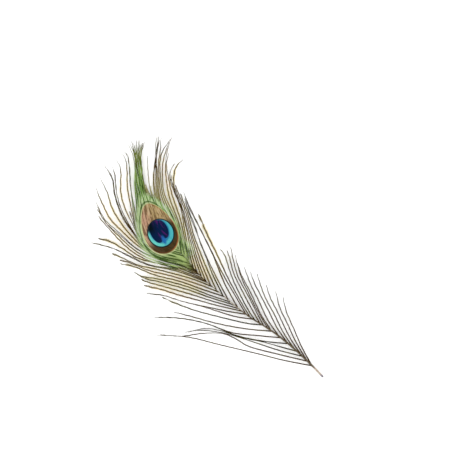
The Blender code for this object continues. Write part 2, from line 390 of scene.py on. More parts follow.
def even_line(line: np.ndarray, count: int) -> np.ndarray:
    """Space the points of a line evenly.

    Args:
        line: Its points, one a row.
        count: How many points to give back.

    Returns:
        The same line in that many points.
    """
    travelled = line_lengths(line)
    goals = np.linspace(0, travelled[-1], count)
    return np.stack([np.interp(goals, travelled, values) for values in line.T], axis=1)


def smooth_line(points: np.ndarray, count: int) -> np.ndarray:
    """Evenly spaced points on a smooth curve through the given ones.

    Args:
        points: The points to run through, one a row.
        count: How many points to give back.

    Returns:
        The points of the curve.
    """
    knots = np.vstack((2 * points[0] - points[1], points, 2 * points[-1] - points[-2]))
    t = np.linspace(0, 1, CURVE_POINTS, endpoint=False)[:, None]
    pieces = []
    for before, start, end, after in zip(knots, knots[1:], knots[2:], knots[3:]):
        bend = (2 * before - 5 * start + 4 * end - after) * t ** 2
        twist = (3 * start - before - 3 * end + after) * t ** 3
        pieces.append((2 * start + (end - before) * t + bend + twist) / 2)
    return even_line(np.vstack((*pieces, points[-1:])), count)


def unit(vectors: np.ndarray) -> np.ndarray:
    """Each row at a length of one."""
    return vectors / np.linalg.norm(vectors, axis=-1, keepdims=True)


def directions(line: np.ndarray) -> tuple[np.ndarray, np.ndarray, np.ndarray]:
    """The directions at each point of a line.

    Args:
        line: Its points with their heights.

    Returns:
        The directions along it, to the right of it and above it.
    """
    along = unit(np.gradient(line, axis=0))
    side = unit(np.cross(along, UP))
    return along, side, np.cross(side, along)


def ease(values: np.ndarray | float, low: float, high: float) -> np.ndarray:
    """A smooth rise from 0 to 1 between two values."""
    t = np.clip((values - low) / (high - low), 0, 1)
    return t * t * (3 - 2 * t)


def between(span: Span, share: np.ndarray | float) -> np.ndarray | float:
    """The value at a share of the way from one number to another."""
    return span[0] + (span[1] - span[0]) * share


def tube(share: np.ndarray, sides: int, rows: Span) -> tuple[np.ndarray, np.ndarray]:
    """The wall of a tube of rings.

    Args:
        share: How far along the tube each ring is.
        sides: How many points a ring has.
        rows: The lowest and highest row of the bake map that it may use.

    Returns:
        Its triangles, and where their corners lie on the bake map.
    """
    step = np.arange(sides)[None]
    first = np.arange(len(share) - 1)[:, None] * sides
    a, b = first + step, first + (step + 1) % sides
    faces = np.stack((a, a + sides, b + sides, a, b + sides, b), axis=-1).reshape(-1, 3)
    low, high = between(rows, step / sides), between(rows, (step + 1) / sides)
    near, far = share[:-1, None], share[1:, None]
    corners = ((near, low), (far, low), (far, high), (near, low), (far, high), (near, high))
    places = [np.stack(np.broadcast_arrays(*corner), axis=-1) for corner in corners]
    return faces, np.stack(places, axis=2).reshape(-1, 2)


def put(name: str, data: bpy.types.ID) -> bpy.types.Object:
    """Add an object to the scene.

    Args:
        name: The object's name.
        data: What it shows.

    Returns:
        The new object.
    """
    thing = bpy.data.objects.new(name, data)
    bpy.context.scene.collection.objects.link(thing)
    return thing


@dataclass(frozen=True)
class Lie:
    """How high each part of the feather lies above the surface."""

    quill_depth: float = 1.9
    end_scale: float = 0.28
    taper: float = 1.2
    bow: float = 2.4
    end_rise: float = 0.35
    flat_length: float = 15.0
    blade_height: float = 0.8
    blade_dish: float = 1.6
    blade_centre: Span = (-47.0, 213.0)
    blade_radius: float = 45.0
    cover: float = 0.24  # how far the eye's web stays above the shaft below it
    dip: Span = (172.0, 192.0)  # where the shaft goes down to there

    def scale(self, y: np.ndarray) -> np.ndarray:
        """The shaft's size at a height up the feather, against its cut end."""
        share = np.clip(y / SHAFT_ROUTE[-1][1], 0, 1)
        return 1 + (self.end_scale - 1) * share ** self.taper

    def blade(self, place: np.ndarray) -> np.ndarray:
        """The height of the eye's web over points of the plane."""
        away = np.linalg.norm(place[..., :2] - np.array(self.blade_centre), axis=-1) / self.blade_radius
        return self.blade_height + self.blade_dish * away ** 2

    def shaft(self, place: np.ndarray) -> np.ndarray:
        """The height of the shaft's middle at points along it.

        Args:
            place: Points of the shaft's route in the plane.

        Returns:
            The height at each point; inside the eye the shaft dips below the web.
        """
        y = place[..., 1]
        half = self.quill_depth * self.scale(y) / 2
        share = np.clip((y - self.flat_length) / (SHAFT_ROUTE[-1][1] - self.flat_length), 0, 1)
        free = self.bow * np.sin(math.pi * share) ** 2 + self.end_rise * share + half
        covered = self.blade(place) - self.cover - half
        return free + (covered - free) * ease(y, *self.dip)


@dataclass(frozen=True)
class Oval:
    """An oval on the eye, by its middle and half sizes along and across the eye's axis."""

    middle: Span
    half: Span

    def out(self, along: Value, across: Value) -> Value:
        """How far out a place is in it.

        Args:
            along: How far the place is along the eye's axis.
            across: How far it is to the right of that axis.

        Returns:
            0 at the oval's middle, 1 on its edge.
        """
        parts = zip((along, across), self.middle, self.half)
        first, second = (((value - middle) / half) ** 2 for value, middle, half in parts)
        return (first + second) ** 0.5


@dataclass(frozen=True)
class EyeShape:
    """The eye's own axis, and the egg that ends its bronze, in millimetres."""

    origin: Span = (-48.4, 212.4)
    axis: Span = (0.167, 0.986)
    egg_middle: Span = (4.5, 0.25)
    egg_half: float = 26.8
    egg_width: float = 16.0
    egg_taper: float = 0.26

    def local(self, x: Value | np.ndarray, y: Value | np.ndarray) -> tuple:
        """How far a place is along the eye's axis from its origin, and how far to the right of it."""
        x, y = x - self.origin[0], y - self.origin[1]
        return x * self.axis[0] + y * self.axis[1], x * self.axis[1] - y * self.axis[0]

    def egg(self, along: Value | np.ndarray, across: Value | np.ndarray) -> Value | np.ndarray:
        """How far out a place is in the egg.

        Args:
            along: How far the place is along the eye's axis.
            across: How far it is to the right of that axis.

        Returns:
            0 at the egg's middle, 1 on its edge.
        """
        share = (along - self.egg_middle[0]) / self.egg_half
        width = (1 - share * self.egg_taper) * self.egg_width
        return (share ** 2 + ((across - self.egg_middle[1]) / width) ** 2) ** 0.5

    def egg_at(self, line: np.ndarray) -> np.ndarray:
        """How far out in the egg each point of a line is."""
        return self.egg(*self.local(line[..., 0], line[..., 1]))

    @staticmethod
    def away(along: Value | np.ndarray, across: Value | np.ndarray) -> Value | np.ndarray:
        """How far a place is from the eye's origin."""
        return (along ** 2 + across ** 2) ** 0.5


LIE = Lie()
EYE = EyeShape()


@dataclass
class MeshStock:
    """The points and faces of one mesh while it is being built, in millimetres."""

    name: str
    points: list = field(default_factory=list)
    faces: list = field(default_factory=list)
    places: list = field(default_factory=list)
    smooth: list = field(default_factory=list)
    facts: dict = field(default_factory=lambda: {"lane": [], "share": [], "web": []})
    size: int = 0

    def add(self, points: np.ndarray, faces: np.ndarray, places: np.ndarray, smooth: bool,
            **facts: np.ndarray | float) -> None:
        """Add points and the triangles on them.

        Args:
            points: The points, one a row.
            faces: Three point numbers a row.
            places: Where each triangle's corners lie on the bake map.
            smooth: Whether the triangles are shaded as one rounded surface.
            **facts: The number that each point carries under each name.
        """
        self.points.append(points)
        self.faces.append(faces + self.size)
        self.places.append(places)
        self.smooth.append(np.full(len(faces), smooth))
        for name, stock in self.facts.items():
            stock.append(np.broadcast_to(np.asarray(facts[name], float), len(points)))
        self.size += len(points)

    def build(self, material: bpy.types.Material) -> bpy.types.Object:
        """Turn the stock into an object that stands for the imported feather.

        Args:
            material: The finish that it wears.

        Returns:
            The new object, which rides on the feather's body.
        """
        points = (np.vstack(self.points) - (*BOX_MIDDLE, 0)) * MM
        faces = np.vstack(self.faces)
        mesh = bpy.data.meshes.new(self.name)
        mesh.vertices.add(len(points))
        mesh.vertices.foreach_set("co", points.astype(np.float32).ravel())
        mesh.loops.add(faces.size)
        mesh.loops.foreach_set("vertex_index", faces.astype(np.int32).ravel())
        mesh.polygons.add(len(faces))
        mesh.polygons.foreach_set("loop_start", np.arange(0, faces.size, 3, dtype=np.int32))
        mesh.polygons.foreach_set("use_smooth", np.concatenate(self.smooth))
        mesh.update(calc_edges=True)
        for name, stock in self.facts.items():
            values = np.concatenate(stock).astype(np.float32)
            mesh.attributes.new(name, "FLOAT", "POINT").data.foreach_set("value", values)
        chart = mesh.uv_layers.new(name=BAKE_MAP)
        chart.uv.foreach_set("vector", np.vstack(self.places).astype(np.float32).ravel())
        mesh.materials.append(material)
        piece = put(self.name, mesh)
        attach(piece, BODY)
        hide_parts(NODE)
        LOG.info("%s: %d triangles", self.name, len(faces))
        return piece


@dataclass
class Barb:
    """One barb as it lies."""

    line: np.ndarray  # its points in millimetres, evenly spaced
    lane: int  # its number, which the finish knows it by
    leaves_eye: float  # the share of its length that is inside the eye
    guide: int  # the guide it grows beside
    gaps: np.ndarray  # how far its nearer neighbour is, at evenly spaced points

    def length(self) -> float:
        """How long it is."""
        return line_lengths(self.line)[-1]

    def room(self, share: np.ndarray) -> np.ndarray:
        """How far its nearer neighbour is at shares of its length."""
        return np.interp(share, np.linspace(0, 1, len(self.gaps)), self.gaps)


@dataclass
class BarbMaker:
    """Makes the midrib of a barb and the barbules down both its sides."""

    rib_width: float = 1.38
    rib_taper: float = 0.18  # how much of its width it loses on its way to the tip
    rib_sides: int = 3
    rib_crowding: Span = (0.3, 2.5)  # the room in which a midrib grows to its full thickness
    crowded_rib: float = 0.7  # how thick one without room is against that
    rib_floor: float = 0.01  # the lowest that a midrib comes
    slims: Span = (-0.08, 0.12)  # where a barb slims, from the share of it that is inside the eye
    plume_slimness: float = 0.12  # how much slimmer it is past that
    tip_length: float = 15.0  # how far from its tip a barb begins to thin out
    tip_fullness: float = 0.5  # how full a barb still is at its tip
    fullness_spread: Span = (0.85, 1.12)
    barbule_step: float = 0.28
    step_spread: float = 0.2  # how far off its step a barbule may root
    barbule_width: float = 0.42
    short_width: float = 0.7  # how wide the shortest barbule is against a full one
    barbule_length: float = 3.4
    length_spread: Span = (0.82, 1.15)
    near: Span = (42.0, 88.0)  # how far from the eye the barbules grow shorter
    far_length: float = 0.27  # how long they are beyond that, against those near the eye
    crowded: Span = (0.3, 0.62)  # a barbule's reach without room, and what room adds
    lone: Span = (6.0, 10.0)  # the room in which barbules begin to fold up
    lone_length: float = 0.45  # how far they reach then, against the others
    angles: Span = (math.radians(46), math.radians(30))  # to the midrib, at its root and at its tip
    angle_spread: float = 0.07
    lift: float = math.radians(24)
    lift_spread: Span = (-0.75, 1.0)
    elbow: float = 0.72  # how far out on a barbule its point begins
    sweep: float = 0.12  # how far the point leans towards the barb's tip
    rooted: Span = (0.015, 0.985)  # where on the barb the first and the last barbule root
    full_from: Span = (-0.02, 0.05)  # where the first ones grow to their full length
    barbule_floor: float = 0.02
    corner_webs: tuple = (0.3, 0.3, 0.7, 0.7, 1.0)  # how far out the finish takes its corners to be
    strip_margin: float = 0.03  # how much of a barb's strip of the bake map stays empty at a side

    def fullness(self, barb: Barb, share: np.ndarray) -> np.ndarray:
        """How full a barb is along its length: slimmer past the eye and thinning to its tip.

        Args:
            barb: The barb.
            share: The shares of its length.

        Returns:
            The fullness at each share.
        """
        tip = ease((1 - share) * barb.length(), 0, self.tip_length)
        slims = (barb.leaves_eye + self.slims[0], barb.leaves_eye + self.slims[1])
        past = ease(share, *slims) * (barb.leaves_eye > 0)
        return between((self.tip_fullness, 1), tip) * (1 - self.plume_slimness * past)

    def rib(self, stock: MeshStock, barb: Barb, rows: Span) -> None:
        """Add the midrib, a slim tapered rod.

        Args:
            stock: The mesh it goes into.
            barb: The barb.
            rows: The lowest and highest row of the bake map that it may use.
        """
        line, sides = barb.line, self.rib_sides
        _, side, above = directions(line)
        share = np.linspace(0, 1, len(line))
        radius = self.rib_width / 2 * (1 - self.rib_taper * share) * self.fullness(barb, share)
        radius = radius * between((self.crowded_rib, 1), ease(barb.room(share), *self.rib_crowding))
        turn = np.arange(sides) * 2 * math.pi / sides - math.pi / 2
        ring = np.cos(turn)[None, :, None] * side[:, None] + np.sin(turn)[None, :, None] * above[:, None]
        points = line[:, None] + ring * radius[:, None, None]
        points[..., 2] = np.maximum(points[..., 2], self.rib_floor)
        faces, places = tube(share, sides, rows)
        end = (len(line) - 1) * sides
        caps = ((0, 1, 2), (end + 2, end + 1, end))
        cap_places = np.repeat(((0.0, rows[0]), (1.0, rows[0])), 3, axis=0)
        stock.add(points.reshape(-1, 3), np.vstack((faces, caps)), np.vstack((places, cap_places)), True,
                  lane=barb.lane, share=np.repeat(share, sides), web=0.0)

    def barbules(self, stock: MeshStock, barb: Barb, side: Side, rows: Span,
                 chance: np.random.Generator, fullness: float) -> None:
        """Add the barbules down one side, each a slim pointed blade.

        Args:
            stock: The mesh they go into.
            barb: The barb.
            side: The side of the midrib.
            rows: The rows of the bake map at their roots and at their tips.
            chance: The source of their small differences.
            fullness: Their length against the usual one.
        """
        length = barb.length()
        count = int(length * (self.rooted[1] - self.rooted[0]) / self.barbule_step)
        share = between(self.rooted, (np.arange(count) + 0.5) / count)
        spread = self.step_spread * self.barbule_step / length
        share = share + chance.uniform(-spread, spread, count)
        grid = np.linspace(0, 1, len(barb.line))

        def read(values: np.ndarray) -> np.ndarray:
            """Values of the line's points, read at the barbules' roots."""
            return np.stack([np.interp(share, grid, column) for column in values.T], axis=1)

        root = read(barb.line)
        along, right, above = (unit(read(values)) for values in directions(barb.line))
        reach = self.reach(barb, root, share, fullness)
        reach = (reach * chance.uniform(*self.length_spread, count))[:, None]
        angle = (between(self.angles, share) + chance.normal(0, self.angle_spread, count))[:, None]
        lift = (self.lift * chance.uniform(*self.lift_spread, count))[:, None]
        heading = np.cos(angle) * along + np.sin(angle) * right * side.value
        heading = np.cos(lift) * heading + np.sin(lift) * above
        half = along * self.barbule_width / 2 * between((self.short_width, 1), reach / self.barbule_length)
        elbow = root + heading * reach * self.elbow
        tip = root + heading * reach + along * reach * self.sweep
        # A blade's corners: two at its root, two at its elbow, and its tip.
        points = np.stack((root - half, root + half, elbow + half, elbow - half, tip), axis=1)
        corners = points.shape[1]
        points[..., 2] = np.maximum(points[..., 2], self.barbule_floor)
        order = (0, 2, 1, 0, 3, 2, 3, 4, 2) if side is Side.RIGHT else (0, 1, 2, 0, 2, 3, 3, 2, 4)
        faces = (np.arange(count)[:, None] * corners + order).reshape(-1, 3)
        across = np.array((-0.5, 0.5, 0.5, -0.5, 0)) * self.barbule_step / length + share[:, None]
        rise = between(rows, np.array((0, 0, 0.5, 0.5, 1)))
        spots = np.stack(np.broadcast_arrays(across, rise), axis=-1).reshape(-1, 2)
        stock.add(points.reshape(-1, 3), faces, spots[faces.ravel()], False,
                  lane=barb.lane, share=np.repeat(share, corners), web=np.tile(self.corner_webs, count))

    def reach(self, barb: Barb, root: np.ndarray, share: np.ndarray, fullness: float) -> np.ndarray:
        """How far barbules reach, before their small differences.

        Args:
            barb: The barb.
            root: The place of each barbule's root.
            share: How far along the barb each one roots.
            fullness: Their length against the usual one.

        Returns:
            The length of each one.
        """
        reach = self.barbule_length * fullness * self.fullness(barb, share) * ease(share, *self.full_from)
        away = EYE.away(*EYE.local(root[:, 0], root[:, 1]))
        room = barb.room(share)
        reach = reach * between((1, self.far_length), ease(away, *self.near))
        reach = reach * between((1, self.lone_length), ease(room, *self.lone))
        return np.minimum(reach, self.crowded[0] + self.crowded[1] * room)

    def make(self, stock: MeshStock, barbs: list[Barb], chance: np.random.Generator) -> None:
        """Add barbs, each in its own strip of the bake map.

        Args:
            stock: The mesh they go into.
            barbs: The barbs.
            chance: The source of their small differences.
        """
        for row, barb in enumerate(barbs):
            low, high = (row + self.strip_margin) / len(barbs), (row + 1 - self.strip_margin) / len(barbs)
            third = (high - low) / 3
            fullness = chance.uniform(*self.fullness_spread)
            self.rib(stock, barb, (low + third, high - third))
            self.barbules(stock, barb, Side.LEFT, (low + third, low), chance, fullness)
            self.barbules(stock, barb, Side.RIGHT, (high - third, high), chance, fullness)


@dataclass
class Vane:
    """The barbs on one side of the shaft, fanned out between their guides."""

    side: Side
    guides: tuple
    growth: dict  # the growth of the barbs that follow a guide, if it isn't even
    first_lane: int
    plume_from: int  # the first guide whose barbs run past the eye into the plume
    step: float = 1.5  # how far apart the points of a finished barb are
    place_spread: float = 0.16  # how far off its place a barb may lie, against the gap to the next
    gather: float = 0.85  # how much of the way to its nearer guide a barb is drawn
    gather_spread: float = 0.12
    wander: float = 0.6  # how far a barb's long sways go to each side
    turns: tuple = ((0.5, 1.6), (1.4, 3.2))  # the fewest and the most turns of a barb's two sways
    sways: Span = (0.65, 0.35)
    free_over: Span = (0.1, 0.5)  # the least and the usual share of its length that frees it past the eye
    stray_share: float = 0.1  # how many barbs sway farther, and how much farther
    stray_wander: float = 2.6
    crimp: float = 0.2  # how far a barb's small bends go to each side
    crimp_length: Span = (6.0, 12.0)
    shortest: float = 0.93  # how much of its length a barb keeps at least
    brief_share: float = 0.9  # how many of the brief barbs do end soon
    brief_ends: Span = (1.5, 2.1)  # how far out in the egg those end
    held_by_eye: float = 1.3  # how far out in the egg the eye holds its barbs
    top_roots: Span = (112.0, 140.0)  # where the roots climb from the shaft's middle to its top
    root_lift: float = 0.1  # how far above that they are then
    web_roots: Span = (172.0, 190.0)  # where they climb on to the eye's web
    arch: float = 5.6
    arch_length: float = 120.0  # the length of a barb that arches so far
    arch_spread: Span = (0.8, 1.1)
    tip_height: float = 0.2
    plume_rise: Span = (2.6, 8.6)
    height_spread: Span = (0.12, 0.03)  # for a loose barb, and for one in the eye

    def guide_lines(self, shaft: np.ndarray) -> list[np.ndarray]:
        """Every guide as an evenly sampled line from the shaft.

        Args:
            shaft: The shaft's route in the plane.

        Returns:
            One line a guide.
        """
        lines = []
        for height, _, points in self.guides:
            root = shaft[np.argmin(np.abs(shaft[:, 1] - height))]
            lines.append(smooth_line(np.vstack((root, points)), GUIDE_POINTS))
        return lines

    @staticmethod
    def gaps(lines: list[np.ndarray]) -> np.ndarray:
        """How far each line's nearer neighbour is.

        Args:
            lines: Lines in the plane, in their order round the feather.

        Returns:
            One row a line, with the distance at each of its points.
        """
        stack = np.stack(lines)
        run = unit(np.gradient(stack, axis=1))[:-1]
        gap = np.diff(stack, axis=0)
        aside = np.abs(gap[..., 0] * run[..., 1] - gap[..., 1] * run[..., 0])
        return np.minimum(np.vstack((aside[:1], aside)), np.vstack((aside, aside[-1:])))

    def shape(self, line: np.ndarray, gaps: np.ndarray, lane: int, guide: int,
              chance: np.random.Generator) -> Barb:
        """Give one barb its own wander, length and height.

        Args:
            line: Its line in the plane.
            gaps: How far its nearer neighbour is at each of the line's points.
            lane: Its number in the row of barbs.
            guide: The guide it grows beside.
            chance: The source of its differences.

        Returns:
            The barb.
        """
        share = np.linspace(0, 1, len(line))
        inside = np.flatnonzero(EYE.egg_at(line) < self.held_by_eye)
        leaves = share[inside[-1]] if len(inside) else 0.0
        freed = max(min(leaves + self.free_over[1], 1), leaves + self.free_over[0])
        free = ease(share, leaves, freed) if leaves else share
        run = unit(np.gradient(line, axis=0))
        right = np.stack((run[:, 1], -run[:, 0]), axis=1)
        turns = chance.uniform(*self.turns)
        starts = chance.uniform(0, 2 * math.pi, 2)
        sway = np.sin(turns * share[:, None] * 2 * math.pi + starts) @ self.sways
        size = self.wander * (self.stray_wander if chance.random() < self.stray_share else 1)
        bends = line_lengths(line) / chance.uniform(*self.crimp_length) + chance.random()
        sway = sway * size + np.sin(bends * 2 * math.pi) * self.crimp
        line = line + right * (sway * free)[:, None]
        kept = chance.uniform(self.shortest, 1)
        line = even_line(line, len(line) * 2)[: int(len(line) * 2 * kept)]
        leaves = min(leaves / kept, 1.0)
        line = even_line(line, int(line_lengths(line)[-1] / self.step))
        line = self.lifted(line, leaves, guide, chance)
        return Barb(line, lane, leaves, guide, gaps[: int(len(gaps) * kept)])

    def root_height(self, root: np.ndarray) -> float:
        """How high above the surface a barb roots at a place on the shaft.

        Args:
            root: The place in the plane.

        Returns:
            The height, which goes from the shaft's middle to its top, and to the eye's web.
        """
        top = LIE.quill_depth * LIE.scale(root[1]) / 2 + self.root_lift
        height = LIE.shaft(root) + top * ease(root[1], *self.top_roots)
        return between((height, LIE.blade(root)), ease(root[1], *self.web_roots))

    def lifted(self, line: np.ndarray, leaves: float, guide: int, chance: np.random.Generator) -> np.ndarray:
        """Raise a barb's line off the surface.

        Args:
            line: Its line in the plane.
            leaves: The share of it that lies inside the eye.
            guide: The guide it grows beside.
            chance: The source of its differences.

        Returns:
            The line with heights.
        """
        share = np.linspace(0, 1, len(line))
        root = self.root_height(line[0])
        rest = self.tip_height
        if guide >= self.plume_from:
            rest += chance.uniform(*self.plume_rise)
        arch = self.arch * line_lengths(line)[-1] / self.arch_length * chance.uniform(*self.arch_spread)
        loose_spread, eye_spread = self.height_spread
        if leaves <= 0:
            height = root + (rest - root) * share ** 2 + arch * np.sin(math.pi * share)
            return np.column_stack((line, height + chance.normal(0, loose_spread)))
        flat = LIE.blade(line)
        height = flat + (root - flat) * (1 - ease(share, 0, leaves / 2))
        past = np.clip((share - leaves) / max(1 - leaves, TINY), 0, 1)
        left_at = float(np.interp(leaves, share, flat))
        beyond = left_at + (rest - left_at) * past ** 2 + arch * (1 - leaves) * np.sin(math.pi * past)
        height = np.where(share > leaves, beyond, height)
        return np.column_stack((line, height + chance.normal(0, eye_spread)))

    def barbs(self, shaft: np.ndarray, chance: np.random.Generator) -> list[Barb]:
        """Every barb of the vane, from the quill up.

        Args:
            shaft: The shaft's route in the plane.
            chance: The source of their differences.

        Returns:
            The barbs in the order of their lanes.
        """
        lines = self.guide_lines(shaft)
        grown, guides, ends = [], [], []
        share = np.linspace(0, 1, GUIDE_POINTS)[:, None]
        for index, (line, (_, inner, _)) in enumerate(zip(lines[:-1], self.guides)):
            growth = self.growth.get(index, Growth.EVEN)
            for number in range(inner + 1):
                part = number / (inner + 1)
                if number:
                    part += chance.uniform(-self.place_spread, self.place_spread) / (inner + 1)
                pull = self.gather * growth.pull(share)
                shift = chance.uniform(-self.gather_spread, self.gather_spread) * pull
                part = part + (round(part) - part) * pull + shift
                grown.append(between((line, lines[index + 1]), part))
                guides.append(index)
                brief = number and growth is Growth.BRIEF and chance.random() < self.brief_share
                ends.append(chance.uniform(*self.brief_ends) if brief else math.inf)
        if self.side is Side.LEFT:
            grown, guides, ends = [*grown, lines[-1]], [*guides, len(lines) - 1], [*ends, math.inf]
        barbs = []
        for line, gaps, guide, end in zip(grown, self.gaps(grown), guides, ends):
            kept = np.flatnonzero(EYE.egg_at(line) < end)[-1] + 1
            lane = self.first_lane + len(barbs)
            barbs.append(self.shape(even_line(line[:kept], GUIDE_POINTS), gaps[:kept], lane, guide, chance))
        return barbs


@dataclass
class EyeWeb:
    """The close-knit part of the vanes, where neighbouring barbs hook together."""

    edge: Span = (1.2, 1.4)  # how far out in the egg it ends
    root_edge: float = 1.22  # how far out it ends below the egg, where the barbs come together
    root_fade: Span = (16.0, 26.0)  # where that edge takes over, down the eye's axis from its origin
    widest: float = 4.6  # the widest gap that it spans
    rooted: int = 10  # how many steps from the shaft it spans any gap
    points: int = 84
    valley: float = 0.16
    thickness: float = 0.1
    reach: float = 1.41  # how far out in the egg its rows run before the ragged edge is cut
    finish_web: float = 0.6  # how far out on a barbule the finish takes it to be

    def inside(self, line: np.ndarray) -> np.ndarray:
        """The part of a barb's line from the shaft to where it leaves the eye, evenly spaced."""
        return even_line(line[: np.flatnonzero(EYE.egg_at(line) < self.reach)[-1] + 1], self.points)

    def cells(self, rows: np.ndarray, chance: np.random.Generator) -> np.ndarray:
        """Which cells between its rows the web fills.

        Args:
            rows: The rows of its points.
            chance: The source of its ragged edge.

        Returns:
            Whether each cell is filled.
        """
        ends = np.repeat(chance.uniform(*self.edge, (len(rows) + 1) // 2), 2)[: len(rows), None]
        gaps = np.linalg.norm(rows[1:, :, :2] - rows[:-1, :, :2], axis=-1) * 2
        along, _ = EYE.local(rows[..., 0], rows[..., 1])
        held = EYE.egg_at(rows) < ends - (ends - self.root_edge) * ease(-along, *self.root_fade)
        spanned = (gaps < self.widest) | (np.arange(self.points) <= self.rooted)
        spanned &= held[:-1] & held[1:]
        return spanned[:, :-1] & spanned[:, 1:]

    def make(self, barbs: list[Barb], chance: np.random.Generator, material: bpy.types.Material) -> None:
        """Build the web between barbs that lie side by side.

        Args:
            barbs: The barbs in the order of their lanes.
            chance: The source of its ragged edge.
            material: The finish that it wears.
        """
        lines = np.stack([self.inside(barb.line) for barb in barbs])
        lines[..., 2] -= self.valley / 2
        middles = (lines[:-1] + lines[1:]) / 2
        middles[..., 2] -= self.valley
        rows = np.empty((len(barbs) * 2 - 1, self.points, 3))
        rows[::2], rows[1::2] = lines, middles
        row, column = np.nonzero(self.cells(rows, chance))
        a = row * self.points + column
        b, c, d = a + self.points, a + self.points + 1, a + 1
        used, faces = np.unique(np.stack((a, d, c, a, c, b), axis=-1), return_inverse=True)
        faces = faces.reshape(-1, 3)
        lanes = np.repeat(np.arange(len(rows)), self.points)[used]
        share = np.tile(np.linspace(0, 1, self.points), len(rows))[used]
        spots = np.column_stack((share, lanes / (len(rows) - 1)))
        stock = MeshStock("eye_web")
        stock.add(rows.reshape(-1, 3)[used], faces, spots[faces.ravel()], True,
                  lane=lanes / 2, share=share, web=self.finish_web)
        skin = stock.build(material).modifiers.new("skin", "SOLIDIFY")
        skin.thickness = self.thickness * MM
        skin.offset = 0


@dataclass
class Shaft:
    """The quill and shaft: rounded above, grooved below, cut off at the quill."""

    width: float = 2.0
    depth: float = 1.75
    rings: int = 150
    slimness: float = 0.3  # how much slimmer than its solid it is in its upper half
    slims: Span = (60.0, 150.0)  # where it becomes so
    end: float = 229.6  # where its rounded end would come to a point
    end_length: float = 3.6
    bluntness: float = 0.05
    section: tuple = (
        (0.0, -0.36), (0.16, -0.44), (0.32, -0.5), (0.46, -0.34), (0.5, -0.02), (0.44, 0.26),
        (0.27, 0.44), (0.0, 0.5), (-0.27, 0.44), (-0.44, 0.26), (-0.5, -0.02), (-0.46, -0.34),
        (-0.32, -0.5), (-0.16, -0.44),
    )
    cut_slope: float = 0.8
    hollow: tuple = ((0.52, 1.6), (0.66, 0.0))  # the hollow's rings: their size, and how deep each one is
    cap_places: tuple = ((0.001, 0.5), (0.999, 0.5))  # where its two ends lie on the bake map

    def route(self) -> np.ndarray:
        """The shaft's line in the plane."""
        return smooth_line(np.array(SHAFT_ROUTE, float), ROUTE_POINTS)

    def wall(self) -> np.ndarray:
        """Work out the rings of its wall.

        Returns:
            The rings, from the bottom of the quill's hollow to the end in the eye.
        """
        line = even_line(self.route(), self.rings)
        line = np.column_stack((line, LIE.shaft(line)))
        along, side, above = directions(line)
        y = line[:, 1]
        scale = LIE.scale(y) * (1 - self.slimness * ease(y, *self.slims))
        scale = scale * np.sqrt(np.clip((self.end - y) / self.end_length, self.bluntness, 1))
        across, up = np.array(self.section).T[..., None]
        offset = across * side[:, None] * self.width + up * above[:, None] * self.depth
        offset = offset * scale[:, None, None]
        rings = line[:, None] + offset
        from_below = up - up.min()
        rings[0] += along[0] * from_below * self.cut_slope
        hollow = [line[0] + offset[0] * size + along[0] * (depth + (up * size - up.min()) * self.cut_slope)
                  for size, depth in self.hollow]
        rings = np.concatenate((hollow, rings))
        rings[..., 2] = np.maximum(rings[..., 2], 0.0)
        return rings

    def make(self, material: bpy.types.Material) -> None:
        """Build the shaft, with a fan of triangles over each end.

        Args:
            material: The finish that it wears.
        """
        rings = self.wall()
        count, sides = rings.shape[:2]
        share = np.arange(count) / (count - 1)
        faces, places = tube(share, sides, (0.0, 1.0))
        ring = np.arange(sides)
        following = (ring + 1) % sides
        last = (count - 1) * sides
        near_middle, far_middle = (np.full(sides, count * sides + number) for number in (0, 1))
        near_fan = np.stack((ring, following, near_middle), axis=-1)
        far_fan = np.stack((last + following, last + ring, far_middle), axis=-1)
        points = np.vstack((rings.reshape(-1, 3), rings[0].mean(axis=0), rings[-1].mean(axis=0)))
        stock = MeshStock("shaft")
        stock.add(points, np.vstack((faces, near_fan, far_fan)),
                  np.vstack((places, np.repeat(self.cap_places, sides * 3, axis=0))), True,
                  lane=0.0, share=np.concatenate((np.repeat(share, sides), (0.0, 1.0))), web=0.0)
        stock.build(material)


@dataclass(frozen=True)
class Spot:
    """What the colour of the vanes depends on at a place of their surface."""

    graph: Graph
    lane: Signal  # the barb's number
    share: Signal  # how far along its barb the place is
    web: Signal  # how far out on a barbule it is
    streak: Signal  # noise that runs along each barb
    along: Signal  # how far the place is along the eye's axis
    across: Signal  # how far it is to the right of that axis
    egg: Signal  # how far out in the egg it is, a little ragged


@dataclass(frozen=True)
class Patch:
    """A patch of the vanes with soft edges, in millimetres along and across the eye's axis."""

    along: Span | Band  # where it fades in, and where it fades out if it does; a falling pair fades out
    across: Span | Band
    strength: float = 1.0

    def mask(self, at: Spot) -> Signal:
        """How much of it shows."""
        return at.along.fade(*self.along) * at.across.fade(*self.across) * self.strength


@dataclass(frozen=True)
class Stripe:
    """A soft stripe up the plume."""

    along: Band  # where on the eye's axis it starts, is full, begins to fade and ends
    middle: float  # how far to the right its middle lies, level with the eye's origin
    side: Span  # how far from its middle it begins to fade and ends
    strength: float
    lean: float = 0.0  # how far it leans to the right on its way up

    def mask(self, at: Spot) -> Signal:
        """How much of it shows."""
        aside = abs(at.across - at.along * self.lean - self.middle)
        return aside.fall(*self.side) * at.along.fade(*self.along) * self.strength


